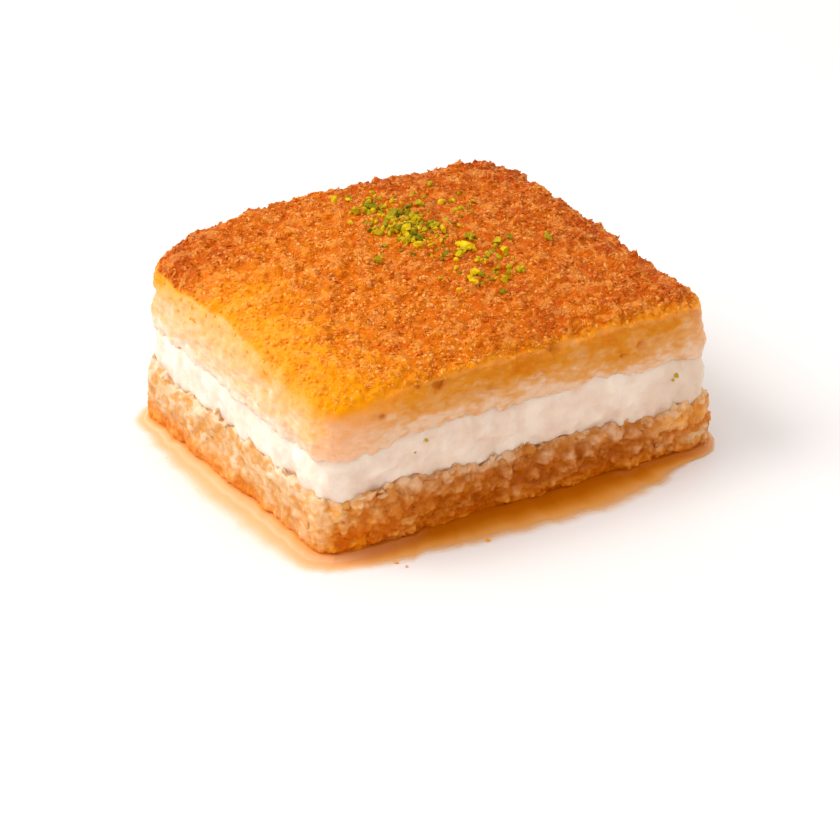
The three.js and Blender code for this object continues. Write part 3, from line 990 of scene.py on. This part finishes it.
# Browning, with painted shade over the right half, darkens the granules as it does the crust.
browning_and_shade = calculate(tree, "ADD", stored(tree, "browned_and_shaded"), -0.4)
browning_and_shade = calculate(tree, "MULTIPLY_ADD", patch["Broad"], 0.7, browning_and_shade)
color = blend(tree, clamp(tree, browning_and_shade), light, brown)
glowing = rescale(tree, stored(tree, "crust"), 0.95, 0.6, 0.65)
color = blend(tree, glowing, color, tone(250, 164, 32))
dulled = calculate(tree, "SUBTRACT", patch["Scorch"], glowing)
color = blend(tree, clamp(tree, dulled), color, tone(190, 74, 8))
color = blend(tree, patch["Blister"], color, tone(250, 182, 96))
tree.links.new(color, shader.inputs["Base Color"])
for piece in (flakes, blisters):
    wear(piece, toasted)

# %% [markdown]
# ## Crumbs in the wet bread
# The lower slab shows separate glassy crumbs, angular and pale. They are a rough ball cut by
# planes, strewn over its sides half sunk.

# %% Model one torn crumb and strew it
NEARLY_FLAT = math.radians(12)


def slice_off(place, way):
    """Cuts the open mesh with a plane, takes off what lies beyond it and closes the cut."""
    bpy.ops.mesh.select_all(action="SELECT")
    bpy.ops.mesh.bisect(plane_co=place, plane_no=way, use_fill=True, clear_outer=True)


def model_torn_crumb(name, cuts):
    """An angular crumb 1 mm across: a ball with slices cut off."""
    torn_ball = open_ball(UNIT_BALL)
    torn_ball.name = name
    for way, distance in cuts:
        slice_off(Vector(way).normalized() * distance * MM, way)
    bpy.ops.mesh.select_all(action="SELECT")
    bpy.ops.mesh.dissolve_limited(angle_limit=NEARLY_FLAT)
    bpy.ops.mesh.select_all(action="SELECT")
    bpy.ops.mesh.quads_convert_to_tris()
    bpy.ops.object.mode_set(mode="OBJECT")
    report(torn_ball)
    return torn_ball


torn = model_torn_crumb("torn crumb", [
    ((1, 0.3, 0.4), 0.26), ((-1, 0.5, 0.2), 0.3), ((0.1, 1, 0.5), 0.28),
    ((-0.3, -1, 0.3), 0.3), ((0.2, 0.1, 1), 0.25)])
soaked_crumbs = strew(lower, torn, "soaked_crumbs", "crumbly", per_cm2=4, tilt=0.4, sink=0.25,
                      smallest=(1.4, 1.3, 0.9), largest=(3.6, 3.0, 1.5), seed=45)
wear(soaked_crumbs, soaked_material("loose wet crumbs", glow=0))

# %% [markdown]
# ## Crushed pistachio
# A knife leaves bits with flat faces and sharp edges, from lumps of four millimetres down to
# dust. A larger bit is a ball cut by its own planes and set where the solid has a lump. The
# largest lumps are crumbly, so four bits stand for each. The dust is strewn round the heaps.

# %% Where the crust stands under a nut
FACING_UP = 0.3
FAR_AWAY = (9, 9, 9)

crust_points = KDTree(len(upper.data.vertices))
for index, vertex in enumerate(upper.data.vertices):
    flat_place = (vertex.co.x, vertex.co.y, 0)
    crust_points.insert(flat_place if vertex.normal.z > FACING_UP else FAR_AWAY, index)
crust_points.balance()


def crust_height(x, y):
    """The height of the crust at a place, in millimetres."""
    nearest = crust_points.find((x * MM, y * MM, 0))[1]
    return upper.data.vertices[nearest].co.z / MM


print("the crust is", round(crust_height(0, 0), 1), "mm high at its middle")

# %% Chop one bit
BIT_RADIUS = 0.56
CUTS_PER_BIT, CUT_DEPTH = 6, (0.2, 0.4)
BIT_STRETCH, BIT_SQUASH = (0.8, 1.2), (0.7, 1.0)
BIT_LIFT = 0.2  # how far the middle stands above the crust, as a share of the size

drawn = np.random.default_rng(NUT_SEED)
tints = np.append(LARGE_NUT_TINTS, drawn.uniform(size=len(nuts) - len(LARGE_NUTS)))


def chop_bit(x, y, size, tint):
    """Cuts one bit of nut out of a ball with planes and sets it on the crust."""
    bit = open_ball(BIT_RADIUS * size)
    for _ in range(CUTS_PER_BIT):
        way = Vector(drawn.normal(size=3)).normalized()
        slice_off(way * drawn.uniform(*CUT_DEPTH) * size * MM, way)
    bpy.ops.mesh.select_all(action="SELECT")
    bpy.ops.mesh.convex_hull(use_existing_faces=False, join_triangles=False)
    bpy.ops.mesh.select_all(action="SELECT")
    bpy.ops.transform.resize(value=(*drawn.uniform(*BIT_STRETCH, 2), drawn.uniform(*BIT_SQUASH)))
    bpy.ops.transform.translate(value=Vector((x, y, crust_height(x, y) + BIT_LIFT * size)) * MM)
    bpy.ops.mesh.quads_convert_to_tris()
    bpy.ops.mesh.subdivide(number_cuts=1)
    bpy.ops.object.mode_set(mode="OBJECT")
    keep_values(bit, "tint", np.full(len(bit.data.vertices), tint))
    return bit


# %% The larger bits
LUMP_SIZE = 2.5  # from this size on, a lump is in four parts
PART_SHARES = (0.66, 0.52, 0.46, 0.4)
PARTS_APART = 0.32
PART_TINTS = (-0.35, 0.1)  # how much the outer parts may differ from the first

bits = []
for (x, y, size), tint in zip(nuts, tints):
    if size < LUMP_SIZE:
        bits.append(chop_bit(x, y, size, tint))
        continue
    turns = np.linspace(0, 2 * np.pi, 5)[:4] + drawn.uniform(0, 2)
    for part, (turn, share) in enumerate(zip(turns, PART_SHARES)):
        apart = PARTS_APART * size * (part > 0)
        part_tint = np.clip(tint + drawn.uniform(*PART_TINTS) * (part > 0), 0, 1)
        bits.append(chop_bit(
            x + apart * math.cos(turn), y + apart * math.sin(turn), size * share, part_tint))
only(*bits)
bpy.ops.object.join()
pistachio_bits = bpy.context.object
pistachio_bits.name = pistachio_bits.data.name = "pistachio_bits"
push(pistachio_bits, 0.7, np.ones(len(pistachio_bits.data.vertices)), clouds(0.7, 1))
report(pistachio_bits)

# %% The dust
SPARSE_DUST = {"x": 15, "y": 14, "along": 12, "across": 8, "turn": 1.7, "count": 12}
FULL_HEAP = NUT_HEAPS[0]
DUST_REACH = 0.55  # as a share of a heap's own reach
DUST_FROM = 36  # no dust below this height

at = places(upper)
dusty = np.zeros(len(at))
for heap in [*NUT_HEAPS, SPARSE_DUST]:
    c, s = math.cos(heap["turn"]), math.sin(heap["turn"])
    dx, dy = at[:, 0] - heap["x"] - NUT_SHIFT[0], at[:, 1] - heap["y"] - NUT_SHIFT[1]
    along, across = dx * c + dy * s, dy * c - dx * s
    share = heap["count"] / FULL_HEAP["count"] * (heap["along"] / FULL_HEAP["along"]) ** 2
    dusty += share * np.exp(-(along / (DUST_REACH * heap["along"])) ** 2
                            - (across / (DUST_REACH * heap["across"])) ** 2)
keep_values(upper, "nut_dust", dusty * (at[:, 2] > DUST_FROM))
chip = model_torn_crumb("chip", [
    ((1, 0, 0.4), 0.3), ((-1, 0.5, 0), 0.35), ((0, 1, 0.3), 0.3), ((0, -1, 0.5), 0.35),
    ((0, 0.2, 1), 0.3), ((0.3, 0, -1), 0.35)])
pistachio_dust = strew(upper, chip, "pistachio_dust", "nut_dust", per_cm2=125, tilt=1.5, sink=-0.1,
                       smallest=(0.5, 0.5, 0.5), largest=(2.1, 1.9, 1.6), seed=65)

# %% Pistachio material
nut_green, tree, shader, place = new_material("crushed pistachio", 0.4, shine=0.1)
color = color_ramp(tree, stored(tree, "tint"), [
    (0.0, 116, 104, 0), (0.3, 166, 146, 0), (0.6, 204, 174, 2), (0.85, 232, 194, 6),
    (1.0, 252, 216, 14)])
patch = mottle(tree, place, 0.9, 2.5)
color = blend(tree, calculate(tree, "MULTIPLY", patch, 0.5), color, tone(132, 122, 0))
tree.links.new(color, shader.inputs["Base Color"])
fine = crumb_grain(tree, place, 0.5, 0.5)
raise_bump(tree, shader, fine["Height"], 0.1)
for piece in (pistachio_bits, pistachio_dust):
    wear(piece, nut_green)

# %% [markdown]
# ## Strays
# A cut never stays clean: a few crumbs of crust lie in the syrup, and a few specks of nut stick to
# the cream. Each is one of the small shapes, copied, sized and set one by one.

# %% Set the strays
CRUMBS_IN_SYRUP = [(-11.2, -46.9, 1.0), (-31.7, -44.9, 0.8), (-30.6, -47.1, 0.6)]  # x, y, size
NUTS_ON_CREAM = [  # x, height and size
    (-20.7, 22.4, 0.9), (-23.5, 20.4, 0.5), (40.0, 20.8, 1.1), (39.2, 19.9, 0.7)]
CRUMB_HEIGHT = 0.25
NEAR_NUT = 0.9
STRAY_TURN, STRAY_TINT = 2.1, 0.7


def set_strays(shape, name, spots):
    """Copies a shape to each (x, y, z, size) in millimetres and joins the copies."""
    copies = []
    for number, (x, y, z, size) in enumerate(spots):
        only(shape)
        bpy.ops.object.duplicate()
        stray = bpy.context.object
        stray.location = Vector((x, y, z)) * MM
        stray.scale = (size, size, size)
        stray.rotation_euler.z = STRAY_TURN * number
        bpy.ops.object.transform_apply(location=True, rotation=True, scale=True)
        keep_values(stray, "tint", np.full(len(stray.data.vertices), STRAY_TINT))
        copies.append(stray)
    only(*copies)
    bpy.ops.object.join()
    piece = bpy.context.object
    piece.name = piece.data.name = name
    bpy.ops.object.shade_smooth()
    report(piece)
    return piece


def front_of(skin, x, z):
    """How far the skin comes forward near a place on its front face."""
    return skin[np.hypot(skin[:, 0] - x, skin[:, 2] - z) < NEAR_NUT, 1].min()


cream_skin = places(cream)
stray_crumbs = set_strays(blister, "stray_crumbs", [
    (x, y, CRUMB_HEIGHT, size) for x, y, size in CRUMBS_IN_SYRUP])
stray_nuts = set_strays(chip, "stray_nuts", [
    (x, front_of(cream_skin, x, z), z, size) for x, z, size in NUTS_ON_CREAM])
wear(stray_crumbs, toasted)
wear(stray_nuts, nut_green)
for shape in (flake, blister, torn, chip):
    bpy.data.objects.remove(shape)

# %% [markdown]
# ## The syrup round the foot
# Syrup drains out of the bread and stands round its foot: deep amber where it climbs the crumb,
# and thinner and paler outwards until it ends in a faint rim. A ring with a low wedge-shaped
# section is fitted round the foot, and its colour fades with the stored depth. A lighter line of
# colour along the faint rim is a painted highlight.

# %% Fit a ring of syrup round the foot
# Each pair starts with a direction in degrees from +X. How far out the syrup runs there, or how
# dark it is, comes second.
FILM_REACH = [
    (-180, 9), (-152, 9), (-139, 5.5), (-125, 8.5), (-105, 11.5), (-60, 11.5), (-51, 8.5),
    (-44, 4.5), (-36, 1.5), (0, 1.2), (120, 2), (150, 4), (180, 9),
]
FILM_DARK = [
    (-180, 0), (-150, 0.05), (-140, 0.3), (-130, 0.8), (-118, 1), (-44, 1), (-34, 0.4),
    (0, 0.2), (180, 0),
]
FOOT_HEIGHT = 2.5
RING_RADIUS, RING_WIDTH, RING_SECTION_STEPS = 40, 5, 40
FILM_TUCK = 1.6  # how far the ring reaches in under the bread
FILM_CLIMB, FILM_THICKNESS, FILM_UNDERSIDE = 1.1, 0.12, 0.02
FAINT_RIM, FAINT_RIM_DEPTH, FAINT_RIM_WIDTH = 0.1, 0.79, 0.05

foot = places(lower)
foot = foot[foot[:, 2] < FOOT_HEIGHT]
bpy.ops.mesh.primitive_torus_add(
    major_segments=OUTLINE_STEPS, minor_segments=RING_SECTION_STEPS,
    major_radius=RING_RADIUS * MM, minor_radius=RING_WIDTH * MM)
syrup = bpy.context.object
syrup.name = syrup.data.name = "syrup_film"
at = places(syrup)
turn = np.arctan2(at[:, 1], at[:, 0])
directions = np.stack([np.cos(turn), np.sin(turn)], 1)
foot_edge = outline_of(foot)[direction_of(at)]
section = np.arctan2(at[:, 2], np.hypot(at[:, 0], at[:, 1]) - RING_RADIUS)
out = (1 + np.cos(section)) / 2
reach = np.interp(np.degrees(turn), *zip(*FILM_REACH))
dark = np.interp(np.degrees(turn), *zip(*FILM_DARK))
ripple = 1 + 0.06 * np.sin(5 * turn + 1) + 0.03 * np.sin(11 * turn + 2)
away = -FILM_TUCK + (reach * ripple + FILM_TUCK) * out ** 1.4
depth = np.clip(1 - np.maximum(away, 0) / (reach * ripple), 0, 1)
above = at[:, 2] > 0.01  # the upper half of the ring's section
edge = FAINT_RIM * (1 - dark) * np.exp(-((depth - FAINT_RIM_DEPTH) / FAINT_RIM_WIDTH) ** 2)
height = np.where(above, FILM_THICKNESS + FILM_CLIMB * depth ** 5 + edge, FILM_UNDERSIDE)
fitted = np.column_stack([directions * (foot_edge + away)[:, None], height]) * MM
syrup.data.vertices.foreach_set("co", fitted.astype(np.float32).ravel())
syrup.data.update()
keep_values(syrup, "depth", np.where(above, depth, 0))
keep_values(syrup, "dark", dark)
report(syrup)

# %% Syrup material
amber_syrup, tree, shader, place = new_material("amber syrup", 0.15, shine=0.12)
depth = stored(tree, "depth")
patch = mottle(tree, place, 9.0, 1.5)
uneven = calculate(tree, "ADD", depth, -0.07)
uneven = calculate(tree, "MULTIPLY_ADD", patch, 0.14, uneven)
deep = color_ramp(tree, uneven, [
    (0.0, 238, 186, 122), (0.2, 236, 180, 108), (0.35, 232, 170, 94), (0.5, 224, 150, 64),
    (0.65, 208, 126, 28), (0.8, 190, 102, 4), (1.0, 178, 88, 0)])
# The lighter stop at 0.79, where the faint rim stands, is a painted highlight.
thin = color_ramp(tree, uneven, [
    (0.0, 249, 222, 190), (0.3, 247, 208, 166), (0.55, 245, 194, 142), (0.7, 244, 184, 130),
    (0.79, 249, 196, 152), (0.88, 245, 182, 128), (1.0, 236, 162, 86)])
tree.links.new(blend(tree, stored(tree, "dark"), thin, deep), shader.inputs["Base Color"])
fades_at = calculate(tree, "MULTIPLY_ADD", stored(tree, "dark"), -0.3, 0.75)
strength = rescale(tree, depth, 0.0, fades_at, interpolation_type="SMOOTHSTEP")
lets_light_by = add_node(tree, "ShaderNodeLightPath").outputs["Is Shadow Ray"]
strength = calculate(tree, "MULTIPLY", strength, calculate(tree, "SUBTRACT", 1.0, lets_light_by))
tree.links.new(strength, shader.inputs["Alpha"])
wear(syrup, amber_syrup)

# %% [markdown]
# ## Handing the pieces over
# The three crumb and cream pieces stand for their solids. All pieces move with the one body.

# %% Ride and replace
STANDS_FOR = {lower: "lower_bread", cream: "cream", upper: "upper_bread"}
FINISHES = {
    "soaked_bread": [lower, soaked_crumbs], "cream": [cream],
    "browned_bread": [upper, flakes, blisters, stray_crumbs],
    "pistachio": [pistachio_bits, pistachio_dust, stray_nuts],
    "syrup": [syrup],
}
for finish, pieces in FINISHES.items():
    for piece in pieces:
        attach(piece, "root")
for piece, solid in STANDS_FOR.items():
    only(piece)
    bpy.ops.object.shade_smooth()
    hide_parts(solid)
print("pieces:", [piece.name for pieces in FINISHES.values() for piece in pieces])
